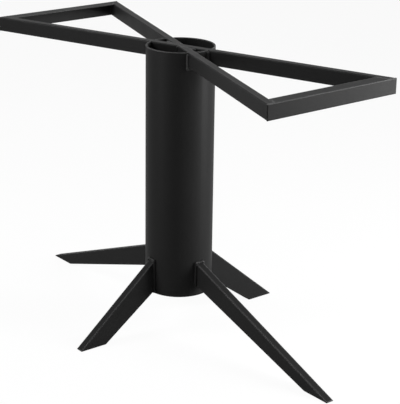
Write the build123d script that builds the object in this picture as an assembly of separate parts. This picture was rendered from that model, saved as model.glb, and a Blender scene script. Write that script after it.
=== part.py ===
from build123d import *
from math import asin, atan2, cos, degrees, hypot, radians, tan
import os

# Welded steel table base. The origin is on the floor below the middle of the column,
# +Z is up and +X runs along the long axis of the frame.
# The frame's two diagonals cross in slots in the column's upper rim.

# Overall sizes, in millimetres
height = 720.0
frame_length = 1060.0
frame_width = 376.0

# Column, a round tube
column_diameter = 168.3
column_wall = 4.0
column_lower_rim = 99.0
rim_round = 1.2

# Diagonal bars, rectangular tube on edge
bar_width = 20.0
bar_depth = 36.0
bar_wall = 1.5
bar_bend_inside = 1.0
slot_clearance = 0.3

# End angles, which close the frame at both ends and carry the table top
flange_width = 32.0
angle_thickness = 3.0
angle_root_round = 3.0
angle_edge_round = 0.6

# Legs, tapered boxes folded from sheet
leg_width = 20.0
leg_wall = 2.5
leg_edge_round = 1.2
leg_top = 185.0
foot_tip_height = 2.0

# Long legs, along X: where tip and heel stand, and the lower edge's height at the column
long_leg_reach = 562.0
long_leg_heel = 484.0
long_leg_root = 126.0

# Cross legs, along Y
cross_leg_reach = 304.0
cross_leg_heel = 231.0
cross_leg_root = 105.0

# Values worked out from the sizes above
column_radius = column_diameter / 2
half_length = frame_length / 2
half_width = frame_width / 2
bar_turn = degrees(atan2(half_width, half_length) - asin(bar_width / 2 / hypot(half_length, half_width)))
upright_inside = half_length - angle_thickness
flange_inside = half_length - flange_width
frame_underside = height - bar_depth


def side_of_bar(x, side):
    """Y of a diagonal's side face at x: side is 1 for the outer face and -1 for the inner one."""
    return x * tan(radians(bar_turn)) + side * bar_width / 2 / cos(radians(bar_turn))


def plan_prism(points, top, depth):
    """A prism with the given outline in plan, from top down by depth."""
    outline = make_face(Polyline(*points, close=True))
    return Pos(0, 0, top - depth) * extrude(outline, amount=depth)


def whole_diagonal(turn):
    """Rectangular tube from one end angle to the other, turned about the column."""
    outside = RectangleRounded(bar_width, bar_depth, bar_bend_inside + bar_wall)
    inside = RectangleRounded(bar_width - 2 * bar_wall, bar_depth - 2 * bar_wall, bar_bend_inside)
    tube = extrude(Plane.YZ * (outside - inside), amount=frame_length, both=True)
    tube = Pos(0, 0, height - bar_depth / 2) * Rot(0, 0, turn) * tube
    between_uprights = Pos(0, 0, height) * Box(2 * upright_inside, frame_length, 2 * bar_depth)
    return tube & between_uprights


def half_diagonals():
    """The other diagonal, cut in two where the long bar passes between its halves."""
    long_bar_space = Pos(0, 0, height) * Rot(0, 0, bar_turn) * Box(frame_length, bar_width, 2 * bar_depth)
    return (whole_diagonal(-bar_turn) - long_bar_space).solids().sort_by(Axis.X)


def end_angle():
    """Right-hand end angle: an upright outside, and a flat flange between the two diagonals."""
    upright = plan_prism(
        [
            (half_length, -half_width),
            (half_length, half_width),
            (upright_inside, side_of_bar(upright_inside, 1)),
            (upright_inside, -side_of_bar(upright_inside, 1)),
        ],
        height,
        bar_depth,
    )
    flange = plan_prism(
        [
            (upright_inside, -side_of_bar(upright_inside, -1)),
            (upright_inside, side_of_bar(upright_inside, -1)),
            (flange_inside, side_of_bar(flange_inside, -1)),
            (flange_inside, -side_of_bar(flange_inside, -1)),
        ],
        height,
        angle_thickness,
    )
    piece = upright + flange
    along = piece.edges().filter_by(Axis.Y)
    root = along.sort_by_distance((upright_inside, 0, height - angle_thickness))[0]
    piece = fillet(root, angle_root_round)
    along = piece.edges().filter_by(Axis.Y)
    rounded = [
        along.sort_by_distance((half_length, 0, height))[0],
        along.sort_by_distance((half_length, 0, frame_underside))[0],
        along.sort_by_distance((flange_inside, 0, height))[0],
    ]
    rounded += piece.edges().filter_by(Axis.Z).group_by(Axis.X)[-1]
    return fillet(rounded, angle_edge_round)


def column():
    """Round tube, open at both ends, with four slots in its upper rim for the diagonals."""
    length = height - column_lower_rim
    tube = Cylinder(column_radius, length) - Cylinder(column_radius - column_wall, length)
    tube = fillet(tube.edges().filter_by(GeomType.CIRCLE), rim_round)
    tube = Pos(0, 0, column_lower_rim + length / 2) * tube
    slot = Box(2 * column_diameter, bar_width + 2 * slot_clearance, 2 * bar_depth)
    for turn in (bar_turn, -bar_turn):
        tube -= Pos(0, 0, height) * Rot(0, 0, turn) * slot
    return tube


def leg_profile(start, reach, heel, root):
    """Side view of a leg, with its upper and lower edges carried inwards to start."""
    upper_slope = (leg_top - foot_tip_height) / (reach - column_radius)
    lower_slope = root / (heel - column_radius)
    inwards = column_radius - start
    return make_face(
        Polyline(
            (start, leg_top + inwards * upper_slope),
            (reach, foot_tip_height),
            (reach, 0),
            (heel, 0),
            (start, root + inwards * lower_slope),
            close=True,
        )
    )


def leg(reach, heel, root):
    """Tapered box leg along +X: closed at the foot, and open where it is welded to the column."""
    start = column_radius - leg_width / 2
    outside = extrude(Plane.XZ * leg_profile(start, reach, heel, root), amount=leg_width / 2, both=True)
    sides = outside.edges().group_by(Axis.Y)
    long_edges = sides[0].sort_by(SortBy.LENGTH)[-2:] + sides[-1].sort_by(SortBy.LENGTH)[-2:]
    outside = fillet(long_edges, leg_edge_round)
    room = offset(leg_profile(start - leg_width, reach, heel, root), -leg_wall, kind=Kind.INTERSECTION)
    inside = extrude(Plane.XZ * room, amount=leg_width / 2 - leg_wall, both=True)
    column_space = Pos(0, 0, height / 2) * Cylinder(column_radius, height)
    return outside - inside - column_space


left_half, right_half = half_diagonals()
right_angle = end_angle()
long_leg = leg(long_leg_reach, long_leg_heel, long_leg_root)
cross_leg = leg(cross_leg_reach, cross_leg_heel, cross_leg_root)

pieces = {
    "column": column(),
    "long_diagonal_bar": whole_diagonal(bar_turn),
    "left_half_diagonal_bar": left_half,
    "right_half_diagonal_bar": right_half,
    "right_end_angle": right_angle,
    "left_end_angle": Rot(0, 0, 180) * right_angle,
    "right_leg": long_leg,
    "back_leg": Rot(0, 0, 90) * cross_leg,
    "left_leg": Rot(0, 0, 180) * long_leg,
    "front_leg": Rot(0, 0, -90) * cross_leg,
}

os.makedirs("parts", exist_ok=True)
for name, solid in pieces.items():
    solid.label = name
    export_step(solid, f"parts/{name}.step")
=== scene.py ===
"""Dresses a welded steel table base: powder coat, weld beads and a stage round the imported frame."""

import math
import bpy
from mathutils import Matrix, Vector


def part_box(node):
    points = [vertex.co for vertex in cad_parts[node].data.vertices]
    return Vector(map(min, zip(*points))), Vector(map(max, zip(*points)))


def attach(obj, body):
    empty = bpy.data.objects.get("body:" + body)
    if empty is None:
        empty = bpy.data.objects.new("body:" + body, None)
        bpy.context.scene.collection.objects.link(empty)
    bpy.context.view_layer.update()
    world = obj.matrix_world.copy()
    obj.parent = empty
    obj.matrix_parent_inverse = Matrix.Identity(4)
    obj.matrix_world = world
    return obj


bl_info = {
    "name": "Welded table base",
    "version": (1, 0, 0),
    "blender": (4, 5, 0),
    "location": "3D View > Sidebar > Table Base",
    "description": "Powder coat, weld beads and a stage for a welded steel table base",
    "category": "Object",
}

import bpy
import numpy as np
from bpy.props import FloatProperty, FloatVectorProperty, PointerProperty
from mathutils import Euler, Vector

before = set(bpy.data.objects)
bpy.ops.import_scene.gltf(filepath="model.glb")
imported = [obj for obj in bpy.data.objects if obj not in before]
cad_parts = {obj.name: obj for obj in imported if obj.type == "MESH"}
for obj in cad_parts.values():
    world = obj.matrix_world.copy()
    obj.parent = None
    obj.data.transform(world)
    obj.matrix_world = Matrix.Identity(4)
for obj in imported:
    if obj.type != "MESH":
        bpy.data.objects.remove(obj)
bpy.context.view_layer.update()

MM = 0.001
LEGS = ("right_leg", "back_leg", "left_leg", "front_leg")

UPWARD = (0, 0, 1)
BOTH_ENDS = (0, math.pi)

# How near a CAD vertex lies to a bar's end, or to the column's wall, to count as lying on it
END_REACH = 0.01 * MM
WALL_REACH = 0.3 * MM

# Weld beads: distance between the points of a path, sides of a bead's oval, how far its middle
# lies outside the walls it joins and how far its size wanders, both as shares of its width, and
# the shares of its width that are left at an open end and in the middle of its run over a leg
PATH_STEP = 0.5 * MM
BEAD_SIDES = 12
WALL_INSET = 1 / 6
WANDER = 0.03
END_SHARE = 0.02
THIN_SHARE = 0.5

# First seed of each group of beads
SEEDS = {"leg": 20, "bar": 40, "fill": 60, "wide_corner": 70, "end_corner": 80, "seam": 90}

# Seams in the flat flanges: the bead's width and height, how deep its middle lies below the top,
# and how far it stays from the flange's edges
SEAM_WIDTH = 3 * MM
SEAM_HEIGHT = 2.6 * MM
SEAM_DEPTH = 1.4 * MM
SEAM_INSET = 1 * MM

# The beads in the frame's inner corners end this far below the top, clear of the flanges
CORNER_BEAD_DROP = 6 * MM

# Fill in the crossing's acute corners: how far it starts inside the bars, how much wider than the
# gap it is, and how deep its crest lies below the top
FILL_START = 3 * MM
FILL_LAP = 1.5 * MM
FILL_SINK = 0.3 * MM
FILL_POINTS = 60

# Coat: width of the clouds in the gloss, and how far roughness and colour go up and down in them
CLOUD_SIZE = 70 * MM
ROUGHNESS_SPREAD = 0.03
SHADE_SPREAD = 0.1

# Colour sockets of the Mix node: its two inputs and its result
MIX_A, MIX_B, MIX_RESULT = 6, 7, 2

# Floor: radius in metres, corners of its rim, and how much of what is seen of it is plain white
FLOOR_RADIUS = 30
FLOOR_CORNERS = 96
WHITE_SHARE = 0.94

# Where the soft boxes stand, turned from +X, in degrees: tall ones on the floor, others hung high
TALL_BOXES = {"key": 46, "side": -100}
HIGH_BOXES = {"fill": -120, "front": -30, "back": 150}

# Their distance from the upright axis, the heights of their middle and of the point they face,
# and their width and height, in metres
TALL_BOX = {"distance": 1.9, "middle": 1.0, "aim": 1.0, "size": (0.6, 2.0)}
HIGH_BOX = {"distance": 2.26, "middle": 2.66, "aim": 0.4, "size": (0.9, 0.9)}


# Sizes that come from the frame


def points_of(node):
    """The vertices of a CAD node as an array of rows."""
    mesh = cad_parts[node].data
    flat = np.zeros(3 * len(mesh.vertices), np.float32)
    mesh.vertices.foreach_get("co", flat)
    return flat.reshape(-1, 3).astype(float)


COLUMN_RADIUS, _, FRAME_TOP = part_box("column")[1]
FRAME_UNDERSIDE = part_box("long_diagonal_bar")[0].z
UPRIGHT_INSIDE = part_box("long_diagonal_bar")[1].x
LEG_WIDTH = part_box("right_leg")[1].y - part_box("right_leg")[0].y


def long_bar_direction():
    """Angle in plan and width of the long diagonal, from the two corners of its right-hand end."""
    spots = points_of("long_diagonal_bar")
    end = spots[spots[:, 0] > UPRIGHT_INSIDE - END_REACH]
    near, far = end[:, 1].min(), end[:, 1].max()
    angle = math.atan2((near + far) / 2, UPRIGHT_INSIDE)
    return angle, (far - near) * math.cos(angle)


BAR_ANGLE, BAR_WIDTH = long_bar_direction()


# Mesh and object helpers


def grid_faces(rows, columns, closed):
    """Quads between the rings of a grid of points. The columns always close into a ring, and the
    rows do too if closed. Otherwise the first and last ring are filled with quads."""
    last = rows if closed else rows - 1
    i, j = np.meshgrid(np.arange(last), np.arange(columns), indexing="ij")
    below, beside = (i + 1) % rows, (j + 1) % columns
    corners = (i * columns + j, below * columns + j, below * columns + beside, i * columns + beside)
    faces = np.stack(corners, axis=-1).reshape(-1, 4)
    if closed:
        return faces
    k = np.arange(columns // 2 - 1)
    cap = np.stack([k, k + 1, columns - 2 - k, columns - 1 - k], axis=-1)
    return np.vstack([faces, cap, cap[:, ::-1] + (rows - 1) * columns])


def enclosed_volume(points, faces):
    """Sum over the faces of the signed volume of the pyramid that each makes with the origin."""
    a, b, c, d = (points[faces[:, k]] for k in range(4))
    return (np.cross(b, c) * a).sum() + (np.cross(c, d) * a).sum()


def steel_piece(name, parts, coat=None):
    """One mesh object from (points, faces) pairs, riding on the root body in the paint's slot.
    It has the frame's own coat unless another is given."""
    points, faces, start = [], [], 0
    for own_points, own_faces in parts:
        if enclosed_volume(own_points, own_faces) < 0:
            own_faces = own_faces[:, ::-1]
        points.append(own_points)
        faces.append(own_faces + start)
        start += len(own_points)
    mesh = bpy.data.meshes.new(name)
    mesh.from_pydata(np.concatenate(points).tolist(), [], np.concatenate(faces).tolist())
    mesh.polygons.foreach_set("use_smooth", np.ones(len(mesh.polygons), bool))
    mesh.update()
    piece = bpy.data.objects.new(name, mesh)
    bpy.context.scene.collection.objects.link(piece)
    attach(piece, "root")
    piece.data.materials.append(coat or powder_coat())


# Weld beads


def along(path, closed):
    """Length along a path up to each of its points, and the path's direction there."""
    if closed:
        ahead, behind = np.roll(path, -1, axis=0), np.roll(path, 1, axis=0)
    else:
        ahead = np.vstack([path[1:], path[-1:]])
        behind = np.vstack([path[:1], path[:-1]])
    direction = ahead - behind
    direction /= np.linalg.norm(direction, axis=1)[:, None]
    steps = np.linalg.norm(np.diff(path, axis=0), axis=1)
    return np.concatenate([[0], np.cumsum(steps)]), direction


def even_points(corners, closed=False):
    """Points at even steps along the straight runs between the given corners."""
    line = np.vstack([corners, corners[:1]]) if closed else np.array(corners)
    lengths = np.concatenate([[0], np.cumsum(np.linalg.norm(np.diff(line, axis=0), axis=1))])
    count = max(8, round(lengths[-1] / PATH_STEP))
    stations = np.linspace(0, lengths[-1], count, endpoint=not closed)
    return np.stack([np.interp(stations, lengths, column) for column in line.T], axis=1)


def on_wall(flat, inset):
    """A path of (sideways, height) points wrapped onto the column's +X side, inset outside its
    wall, and the outward direction at each of its points."""
    reach = COLUMN_RADIUS + inset
    sideways, height = flat.T
    path = np.stack([np.sqrt(reach**2 - sideways**2), sideways, height], axis=1)
    return path, path * (1, 1, 0) / reach


def bead(path, outward, width, seed, closed=False, height=None):
    """A weld bead: an oval ring carried along the path. Its half width r(s) is half the given
    width, one value or one for each point, times one less a row of rounded scallops,
    1 - sqrt(|sin(pi s / pitch)|), and a slow wander. Its height is the width unless one is given.
    An open bead's ends run out as a quarter circle does, sqrt(1 - (1 - s / r)^2)."""
    settings = bpy.context.scene.weld_settings
    length, direction = along(path, closed)
    across = np.cross(direction, outward)
    across /= np.linalg.norm(across, axis=1)[:, None]
    up = np.cross(across, direction)
    random = np.random.default_rng(seed)
    full = length[-1] + (np.linalg.norm(path[0] - path[-1]) if closed else 0)
    scallops = max(3, round(full / settings.ripple_pitch))
    wander = sum(
        random.normal(0, 0.5) * np.sin(2 * math.pi * (k * length / full + random.random()))
        for k in range(2, 7)
    )
    scallop = np.sqrt(np.abs(np.sin(math.pi * scallops * length / full)))
    form = 1 - settings.ripple_depth * (1 - scallop) + WANDER * wander
    half_width = width / 2 * np.ones(len(path))
    half_height = half_width if height is None else height / 2 * np.ones(len(path))
    if not closed:
        run_out = np.minimum(length, full - length) / half_height
        form = form * np.sqrt(1 - (1 - np.clip(run_out, END_SHARE, 1)) ** 2)
    turn = np.linspace(0, 2 * math.pi, BEAD_SIDES, endpoint=False)
    sideways = (half_width * form)[:, None, None] * np.cos(turn)[None, :, None] * across[:, None]
    upwards = (half_height * form)[:, None, None] * np.sin(turn)[None, :, None] * up[:, None]
    points = path[:, None] + sideways + upwards
    return points.reshape(-1, 3), grid_faces(len(path), BEAD_SIDES, closed)


def same(direction, path):
    """One direction for each point of a path."""
    return np.tile(np.array(direction, float), (len(path), 1))


def turned(points, angle):
    """Points turned about the upright axis by an angle."""
    c, s = math.cos(angle), math.sin(angle)
    return points @ np.array([[c, s, 0], [-s, c, 0], [0, 0, 1]])


def beads_round(angles, path, outward, width, seed, **form):
    """The same bead turned about the upright axis by each of the angles, each with a seed one
    higher than the last."""
    return [
        bead(turned(path, angle), turned(outward, angle), width, seed + k, **form)
        for k, angle in enumerate(angles)
    ]


def end_on_column(node, angle):
    """Greatest and least height of a leg's end where it meets the column."""
    spots = turned(points_of(node), -angle)
    radial = np.hypot(spots[:, 0], spots[:, 1])
    end = spots[np.abs(radial - COLUMN_RADIUS) < WALL_REACH]
    return end[:, 2].max(), end[:, 2].min()


# Finish


def linear(hex_colour):
    """Linear colour of an sRGB hex value."""
    values = [int(hex_colour[k : k + 2], 16) / 255 for k in (1, 3, 5)]
    return tuple(v / 12.92 if v <= 0.04045 else ((v + 0.055) / 1.055) ** 2.4 for v in values)


def add(tree, kind, links=(), values=(), **settings):
    """A new node with its settings. Links are (socket of another node, own input) pairs, and
    values are (value, own input) pairs for inputs that have no name of their own."""
    node = tree.nodes.new(kind)
    for key, value in settings.items():
        if hasattr(node, key):
            setattr(node, key, value)
        else:
            node.inputs[key.replace("_", " ")].default_value = value
    for value, target in values:
        node.inputs[target].default_value = value
    for source, target in links:
        tree.links.new(source, node.inputs[target])
    return node


def powder_coat(name="satin_black_powder_coat", colour=None):
    """Satin black polyester powder coat, sprayed and baked on steel. The eye sees a deep neutral
    black with a soft wide sheen, broken by a fine orange peel and slightly cloudy in its gloss.
    Its colour is that of the settings unless another is given."""
    if name in bpy.data.materials:
        return bpy.data.materials[name]
    settings = bpy.context.scene.coat_settings
    material = bpy.data.materials.new(name)
    material.use_nodes = True
    tree = material.node_tree
    tree.nodes.clear()
    place = add(tree, "ShaderNodeTexCoord").outputs["Object"]

    # The wet coat drew back from sharp edges and left them round
    edges = add(tree, "ShaderNodeBevel", samples=8, Radius=settings.edge_round)

    # Arrises that face up get a painted highlight, a lighter colour in place of the light their
    # rounds catch from above: beside them the rounded normal leaves the face's own normal, by up to
    # 45 degrees at a square arris. The painted highlight starts at 8 degrees and is full at 28, and
    # it needs a rounded normal that points 9 to 27 degrees or more above the horizon
    highlight_normal = add(tree, "ShaderNodeBevel", samples=8, Radius=settings.highlight_width).outputs["Normal"]
    face = add(tree, "ShaderNodeNewGeometry").outputs["Normal"]
    turned_by = add(
        tree,
        "ShaderNodeVectorMath",
        [(highlight_normal, 0), (face, 1)],
        operation="DOT_PRODUCT",
    )
    arris = add(
        tree,
        "ShaderNodeMapRange",
        [(turned_by.outputs["Value"], "Value")],
        From_Min=0.99,
        From_Max=0.88,
    )
    height = add(tree, "ShaderNodeSeparateXYZ", [(highlight_normal, 0)])
    upward = add(
        tree,
        "ShaderNodeMapRange",
        [(height.outputs["Z"], "Value")],
        From_Min=0.15,
        From_Max=0.45,
    )
    painted_highlight = add(
        tree,
        "ShaderNodeMath",
        [(arris.outputs["Result"], 0), (upward.outputs["Result"], 1)],
        operation="MULTIPLY",
    )

    # Orange peel: smooth lumps about as wide as the peel size
    peel = add(
        tree,
        "ShaderNodeTexNoise",
        [(place, "Vector")],
        Scale=1 / settings.peel_size,
        Detail=1.5,
        Roughness=0.45,
    )
    bump = add(
        tree,
        "ShaderNodeBump",
        [(peel.outputs["Fac"], "Height"), (edges.outputs["Normal"], "Normal")],
        Strength=settings.peel_strength,
        Distance=settings.peel_depth,
    )

    # Clouds in gloss and shade, a hand's width across, where the coat went on thicker or thinner
    clouds = add(
        tree,
        "ShaderNodeTexNoise",
        [(place, "Vector")],
        Scale=1 / CLOUD_SIZE,
        Detail=3.0,
        Roughness=0.55,
    )
    gloss = add(
        tree,
        "ShaderNodeMapRange",
        [(clouds.outputs["Fac"], "Value")],
        From_Min=0.3,
        From_Max=0.7,
        To_Min=settings.roughness - ROUGHNESS_SPREAD,
        To_Max=settings.roughness + ROUGHNESS_SPREAD,
    )
    colour = Vector(colour or settings.colour)
    shade = add(
        tree,
        "ShaderNodeMix",
        [(clouds.outputs["Fac"], "Factor")],
        [
            ((*((1 - SHADE_SPREAD) * colour), 1), MIX_A),
            ((*((1 + SHADE_SPREAD) * colour), 1), MIX_B),
        ],
        data_type="RGBA",
    )
    # Painted highlight: the coat's colour is mixed towards the lighter arris colour where the mask is
    # full
    shade_with_painted_highlight = add(
        tree,
        "ShaderNodeMix",
        [(painted_highlight.outputs[0], "Factor"), (shade.outputs[MIX_RESULT], MIX_A)],
        [((*settings.arris_highlight_colour, 1), MIX_B)],
        data_type="RGBA",
    )

    shader = add(
        tree,
        "ShaderNodeBsdfPrincipled",
        [
            (shade_with_painted_highlight.outputs[MIX_RESULT], "Base Color"),
            (gloss.outputs["Result"], "Roughness"),
            (bump.outputs["Normal"], "Normal"),
        ],
        Metallic=0.0,
        IOR=1.5,
        Specular_IOR_Level=settings.specular,
    )
    add(tree, "ShaderNodeOutputMaterial", [(shader.outputs["BSDF"], "Surface")])
    return material


# Settings


class CoatSettings(bpy.types.PropertyGroup):
    """Colour and surface of the powder coat."""

    colour: FloatVectorProperty(
        name="Colour",
        description="Colour of the powder coat",
        subtype="COLOR",
        default=linear("#161616"),
        min=0,
        max=1,
    )
    # Painted highlight: arrises that face up are given this lighter colour in place of the light
    # their rounds catch
    arris_highlight_colour: FloatVectorProperty(
        name="Arris colour",
        description="Colour of the arrises that face up, where the coat is rubbed",
        subtype="COLOR",
        default=linear("#4a4a4a"),
        min=0,
        max=1,
    )
    # Painted highlight: the beads at the bars are given this lighter colour in place of the light
    # they catch
    bead_highlight_colour: FloatVectorProperty(
        name="Bead colour",
        description="Colour of the beads at the bars, which stand proud and are rubbed",
        subtype="COLOR",
        default=linear("#262626"),
        min=0,
        max=1,
    )
    roughness: FloatProperty(
        name="Roughness",
        description="0 is a mirror, 1 is chalk",
        subtype="FACTOR",
        default=0.46,
        min=0,
        max=1,
    )
    specular: FloatProperty(
        name="Sheen level",
        description="Strength of the coat's reflections, where 0.5 is that of its refractive index",
        subtype="FACTOR",
        default=0.024,
        min=0,
        max=1,
    )
    edge_round: FloatProperty(
        name="Edge round",
        description="How far from an edge the coat curves over it",
        unit="LENGTH",
        default=3.0 * MM,
        min=0,
    )
    # Width of the painted highlight beside arrises that face up
    highlight_width: FloatProperty(
        name="Rub width",
        description="How far from an arris that faces up the coat is rubbed",
        unit="LENGTH",
        default=5.0 * MM,
        min=0,
    )
    peel_size: FloatProperty(
        name="Peel size",
        description="Width of the orange peel's lumps",
        unit="LENGTH",
        default=1.8 * MM,
        min=0.2 * MM,
    )
    peel_depth: FloatProperty(
        name="Peel depth",
        description="Depth of the orange peel",
        unit="LENGTH",
        default=0.03 * MM,
        min=0,
    )
    peel_strength: FloatProperty(
        name="Peel strength",
        description="How much of the peel's depth shows",
        subtype="FACTOR",
        default=0.6,
        min=0,
        max=1,
    )


class WeldSettings(bpy.types.PropertyGroup):
    """Sizes of the weld beads."""

    leg_bead: FloatProperty(
        name="Leg bead",
        description="Width of the beads round the legs",
        unit="LENGTH",
        default=8.0 * MM,
        min=1 * MM,
    )
    bar_bead: FloatProperty(
        name="Bar bead",
        description="Width of the beads at the bars",
        unit="LENGTH",
        default=9.0 * MM,
        min=1 * MM,
    )
    bar_bead_drop: FloatProperty(
        name="Bar bead drop",
        description="How far the upright beads at the bars run on below them",
        unit="LENGTH",
        default=6.0 * MM,
        min=0,
    )
    corner_bead: FloatProperty(
        name="Corner bead",
        description="Width of the beads in the frame's corners and at its crossing",
        unit="LENGTH",
        default=5.0 * MM,
        min=1 * MM,
    )
    fill_length: FloatProperty(
        name="Fill length",
        description="How far the crossing's acute corners are filled",
        unit="LENGTH",
        default=22.0 * MM,
        min=5 * MM,
    )
    fill_depth: FloatProperty(
        name="Fill depth",
        description="Depth of the fill in the crossing's acute corners",
        unit="LENGTH",
        default=7.0 * MM,
        min=1 * MM,
    )
    ripple_pitch: FloatProperty(
        name="Ripple pitch",
        description="Distance between the ripples of a bead",
        unit="LENGTH",
        default=2.2 * MM,
        min=0.5 * MM,
    )
    ripple_depth: FloatProperty(
        name="Ripple depth",
        description="Depth of the ripples as a share of half the bead's width",
        subtype="FACTOR",
        default=0.25,
        min=0,
        max=0.5,
    )


class StageSettings(bpy.types.PropertyGroup):
    """Floor, light and camera."""

    floor_colour: FloatVectorProperty(
        name="Floor colour",
        description="Colour of the floor",
        subtype="COLOR",
        default=linear("#bcbcbc"),
        min=0,
        max=1,
    )
    key_power: FloatProperty(
        name="Key light",
        description="Power of the tall soft box to the right of the camera",
        unit="POWER",
        default=152.0,
        min=0,
    )
    side_power: FloatProperty(
        name="Side light",
        description="Power of the tall soft box to the left of the camera",
        unit="POWER",
        default=38.0,
        min=0,
    )
    fill_power: FloatProperty(
        name="Fill light",
        description="Power of the high soft box to the left of the camera",
        unit="POWER",
        default=72.0,
        min=0,
    )
    front_power: FloatProperty(
        name="Front light",
        description="Power of the high soft box above the camera",
        unit="POWER",
        default=18.0,
        min=0,
    )
    back_power: FloatProperty(
        name="Back light",
        description="Power of the high soft box behind the base",
        unit="POWER",
        default=20.0,
        min=0,
    )
    room_light: FloatProperty(
        name="Room light",
        description="Strength of the even light from all round",
        default=0.05,
        min=0,
    )
    camera_place: FloatVectorProperty(
        name="Camera place",
        description="Where the camera stands",
        subtype="TRANSLATION",
        default=(2.54536, -1.98379, 1.45590),
    )
    camera_turn: FloatVectorProperty(
        name="Camera turn",
        description="Which way the camera points",
        subtype="EULER",
        default=tuple(math.radians(a) for a in (70.7861, -0.5411, 52.2217)),
    )
    lens: FloatProperty(
        name="Lens",
        description="Focal length on a 36 mm wide sensor",
        unit="CAMERA",
        default=122.37,
        min=10,
    )
    shift_across: FloatProperty(
        name="Shift across",
        description="Sideways shift of the lens as a share of the picture",
        default=0.0495,
    )
    shift_up: FloatProperty(
        name="Shift up",
        description="Upward shift of the lens as a share of the picture",
        default=-0.0099,
    )


# Operators


class TABLEBASE_OT_coat(bpy.types.Operator):
    """Give every steel piece of the frame its powder coat"""

    bl_idname = "table_base.coat"
    bl_label = "Coat the Steel"

    def execute(self, context):
        coat = powder_coat()
        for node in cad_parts.values():
            node.data.materials.clear()
            node.data.materials.append(coat)
        return {"FINISHED"}


class TABLEBASE_OT_leg_welds(bpy.types.Operator):
    """Weld each leg to the column with a bead all round its end, full at the corners and thin
    where it runs over and under the leg"""

    bl_idname = "table_base.leg_welds"
    bl_label = "Weld the Legs"

    def execute(self, context):
        width = context.scene.weld_settings.leg_bead
        inset = width * WALL_INSET
        half = LEG_WIDTH / 2 + inset
        for k, node in enumerate(LEGS):
            angle = k * math.pi / 2
            top, bottom = end_on_column(node, angle)
            top, bottom = top + inset, bottom - inset
            corners = [(half, bottom), (half, top), (-half, top), (-half, bottom)]
            flat = even_points(corners, closed=True)
            path, outward = on_wall(flat, inset)
            fullness = np.interp(np.abs(flat[:, 0]), (0, half), (THIN_SHARE, 1))
            seed = SEEDS["leg"] + k
            made = beads_round([angle], path, outward, width * fullness, seed, closed=True)
            steel_piece(f"{node}_weld", made)
        return {"FINISHED"}


class TABLEBASE_OT_bar_welds(bpy.types.Operator):
    """Weld the bars to the column's outer wall: a bead down each side, which runs on below the
    bar, and one under it"""

    bl_idname = "table_base.bar_welds"
    bl_label = "Weld the Bars"

    def execute(self, context):
        settings = context.scene.weld_settings
        width = settings.bar_bead
        inset = width * WALL_INSET
        half = BAR_WIDTH / 2 + inset
        high, low = FRAME_TOP - width / 4, FRAME_UNDERSIDE - inset
        lowest = low - settings.bar_bead_drop
        directions = (BAR_ANGLE, math.pi - BAR_ANGLE, math.pi + BAR_ANGLE, -BAR_ANGLE)
        runs = (
            [(half, high), (half, lowest)],
            [(-half, high), (-half, lowest)],
            [(-half, low), (half, low)],
        )
        made = []
        for k, run in enumerate(runs):
            path, outward = on_wall(even_points(run), inset)
            seed = SEEDS["bar"] + k * len(directions)
            made += beads_round(directions, path, outward, width, seed)
        # The beads at the bars get a lighter colour, a painted highlight for the light they catch
        painted_highlight = powder_coat("rubbed_black_powder_coat", context.scene.coat_settings.bead_highlight_colour)
        steel_piece("bar_welds", made, painted_highlight)
        return {"FINISHED"}


class TABLEBASE_OT_crossing_welds(bpy.types.Operator):
    """Weld the half diagonals to the long one: filled acute corners and a bead in each wide one"""

    bl_idname = "table_base.crossing_welds"
    bl_label = "Weld the Crossing"

    def execute(self, context):
        settings = context.scene.weld_settings
        depth = settings.fill_depth
        acute = BAR_WIDTH / 2 / math.sin(BAR_ANGLE)
        x = np.linspace(acute - FILL_START, acute + settings.fill_length, FILL_POINTS)
        gap = 2 * np.maximum(x - acute, 0) * math.tan(BAR_ANGLE) + FILL_LAP
        path = np.stack([x, 0 * x, 0 * x + FRAME_TOP - depth / 2 - FILL_SINK], axis=1)
        outward = same(UPWARD, path)
        made = beads_round(BOTH_ENDS, path, outward, gap, SEEDS["fill"], height=depth)

        width = settings.corner_bead
        inset = width / 8
        y = BAR_WIDTH / 2 / math.cos(BAR_ANGLE) + inset
        path = even_points([(0, y, FRAME_UNDERSIDE + inset), (0, y, FRAME_TOP - width / 2)])
        outward = same((0, 1, 0), path)
        made += beads_round(BOTH_ENDS, path, outward, width, SEEDS["wide_corner"])
        steel_piece("crossing_welds", made)
        return {"FINISHED"}


class TABLEBASE_OT_end_welds(bpy.types.Operator):
    """Weld the bars into the end angles: upright beads in the inner corners, and the seams of the
    flat flanges filled"""

    bl_idname = "table_base.end_welds"
    bl_label = "Weld the Ends"

    def execute(self, context):
        width = context.scene.weld_settings.corner_bead
        inset = width * WALL_INSET
        slope = math.tan(BAR_ANGLE)
        side = BAR_WIDTH / 2 / math.cos(BAR_ANGLE)
        x = UPRIGHT_INSIDE - inset
        y = x * slope - side - inset
        corner = [(x, y, FRAME_UNDERSIDE + width / 4), (x, y, FRAME_TOP - CORNER_BEAD_DROP)]
        flange_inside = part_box("right_end_angle")[0].x
        seam = [
            (end, end * slope - side, FRAME_TOP - SEAM_DEPTH)
            for end in (flange_inside + SEAM_INSET, UPRIGHT_INSIDE - SEAM_INSET)
        ]
        made = []
        for k, angle in enumerate(BOTH_ENDS):
            for mirror in (1, -1):
                flip = np.array((1, mirror, 1))
                path = even_points(corner * flip)
                outward = same((-math.sqrt(0.5), -mirror * math.sqrt(0.5), 0), path)
                seed = SEEDS["end_corner"] + 2 * k + mirror
                made += beads_round([angle], path, outward, width, seed)
                path = even_points(seam * flip)
                outward = same(UPWARD, path)
                seed = SEEDS["seam"] + k
                made += beads_round([angle], path, outward, SEAM_WIDTH, seed, height=SEAM_HEIGHT)
        steel_piece("end_welds", made)
        return {"FINISHED"}


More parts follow.
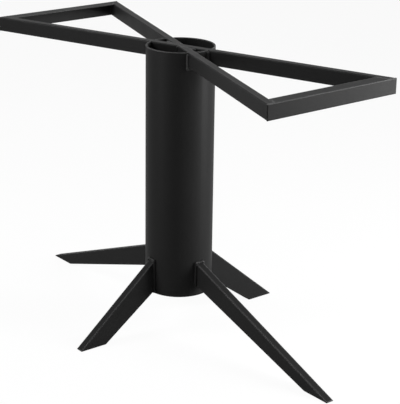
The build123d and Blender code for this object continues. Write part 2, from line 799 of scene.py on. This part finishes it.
class TABLEBASE_OT_stage(bpy.types.Operator):
    """Set up the floor, the soft light and the camera"""

    bl_idname = "table_base.stage"
    bl_label = "Set the Stage"

    def execute(self, context):
        settings = context.scene.stage_settings
        self.floor(context, settings)
        self.room(context, settings)
        for turns, box in ((TALL_BOXES, TALL_BOX), (HIGH_BOXES, HIGH_BOX)):
            for name, turn in turns.items():
                soft_box(f"{name}_light", getattr(settings, f"{name}_power"), turn, **box)
        camera = bpy.data.objects.new("camera", bpy.data.cameras.new("camera"))
        camera.location = settings.camera_place
        camera.rotation_euler = Euler(settings.camera_turn)
        camera.data.lens = settings.lens
        camera.data.shift_x = settings.shift_across
        camera.data.shift_y = settings.shift_up
        context.scene.collection.objects.link(camera)
        context.scene.camera = camera
        context.scene.view_settings.view_transform = "Standard"
        return {"FINISHED"}

    def floor(self, context, settings):
        """A round floor. A part of what the camera sees of it is plain white, which keeps the
        background white and leaves the rest to show the object's shadow."""
        turn = np.linspace(0, 2 * math.pi, FLOOR_CORNERS, endpoint=False)
        rim = FLOOR_RADIUS * np.stack([np.cos(turn), np.sin(turn), 0 * turn], axis=1)
        mesh = bpy.data.meshes.new("floor")
        mesh.from_pydata(rim.tolist(), [], [list(range(FLOOR_CORNERS))])
        floor = bpy.data.objects.new("floor", mesh)
        context.scene.collection.objects.link(floor)
        material = bpy.data.materials.new("matt_white_floor")
        material.use_nodes = True
        tree = material.node_tree
        tree.nodes.clear()
        matt = add(tree, "ShaderNodeBsdfDiffuse", Color=(*settings.floor_colour, 1))
        white = add(tree, "ShaderNodeEmission", Strength=1.0)
        share = add(
            tree,
            "ShaderNodeMath",
            [(seen(tree), 0)],
            [(WHITE_SHARE, 1)],
            operation="MULTIPLY",
        )
        both = add(
            tree,
            "ShaderNodeMixShader",
            [(share.outputs[0], 0), (matt.outputs[0], 1), (white.outputs[0], 2)],
        )
        add(tree, "ShaderNodeOutputMaterial", [(both.outputs[0], "Surface")])
        mesh.materials.append(material)

    def room(self, context, settings):
        """Even light from all round, and plain white where it is seen or reflected."""
        world = bpy.data.worlds.new("room")
        context.scene.world = world
        world.use_nodes = True
        tree = world.node_tree
        tree.nodes.clear()
        light = add(
            tree,
            "ShaderNodeBackground",
            Color=(1, 1, 1, 1),
            Strength=settings.room_light,
        )
        white = add(tree, "ShaderNodeBackground", Color=(1, 1, 1, 1), Strength=1.0)
        both = add(
            tree,
            "ShaderNodeMixShader",
            [(seen(tree), 0), (light.outputs[0], 1), (white.outputs[0], 2)],
        )
        add(tree, "ShaderNodeOutputWorld", [(both.outputs[0], "Surface")])


def seen(tree):
    """1 where the ray comes from the camera, a reflection or a clear material, and 0 elsewhere."""
    path = add(tree, "ShaderNodeLightPath")
    either = add(
        tree,
        "ShaderNodeMath",
        [(path.outputs["Is Camera Ray"], 0), (path.outputs["Is Glossy Ray"], 1)],
        operation="MAXIMUM",
    )
    return add(
        tree,
        "ShaderNodeMath",
        [(either.outputs[0], 0), (path.outputs["Is Transmission Ray"], 1)],
        operation="MAXIMUM",
    ).outputs[0]


def soft_box(name, power, turn, distance, middle, aim, size):
    """An area light of a given width and height. Its middle stands turned about the upright axis
    from +X, at a distance and a height, and it faces a point of that axis at the height of aim."""
    light = bpy.data.lights.new(name, "AREA")
    light.shape = "RECTANGLE"
    light.size, light.size_y = size
    light.energy = power
    box = bpy.data.objects.new(name, light)
    angle = math.radians(turn)
    box.location = (distance * math.cos(angle), distance * math.sin(angle), middle)
    back = box.location - Vector((0, 0, aim))
    box.rotation_euler = back.to_track_quat("Z", "Y").to_euler()
    box.visible_camera = False
    bpy.context.scene.collection.objects.link(box)


class TABLEBASE_PT_panel(bpy.types.Panel):
    """Lists the steps and their settings"""

    bl_label = "Table Base"
    bl_space_type = "VIEW_3D"
    bl_region_type = "UI"
    bl_category = "Table Base"

    def draw(self, context):
        groups = (
            (context.scene.coat_settings, (TABLEBASE_OT_coat,)),
            (context.scene.weld_settings, WELDS),
            (context.scene.stage_settings, (TABLEBASE_OT_stage,)),
        )
        for settings, operators in groups:
            box = self.layout.box()
            for name in settings.__annotations__:
                box.prop(settings, name)
            for operator in operators:
                box.operator(operator.bl_idname)


SETTINGS = {
    "coat_settings": CoatSettings,
    "weld_settings": WeldSettings,
    "stage_settings": StageSettings,
}
WELDS = (
    TABLEBASE_OT_leg_welds,
    TABLEBASE_OT_bar_welds,
    TABLEBASE_OT_crossing_welds,
    TABLEBASE_OT_end_welds,
)
OPERATORS = (TABLEBASE_OT_coat, *WELDS, TABLEBASE_OT_stage)


def register():
    for name, group in SETTINGS.items():
        bpy.utils.register_class(group)
        setattr(bpy.types.Scene, name, PointerProperty(type=group))
    for operator in OPERATORS:
        bpy.utils.register_class(operator)
    bpy.utils.register_class(TABLEBASE_PT_panel)


def unregister():
    bpy.utils.unregister_class(TABLEBASE_PT_panel)
    for operator in reversed(OPERATORS):
        bpy.utils.unregister_class(operator)
    for name, group in SETTINGS.items():
        delattr(bpy.types.Scene, name)
        bpy.utils.unregister_class(group)


def main():
    """Builds everything."""
    register()
    bpy.ops.table_base.coat()
    bpy.ops.table_base.leg_welds()
    bpy.ops.table_base.bar_welds()
    bpy.ops.table_base.crossing_welds()
    bpy.ops.table_base.end_welds()
    bpy.ops.table_base.stage()


if __name__ == "__main__":
    main()
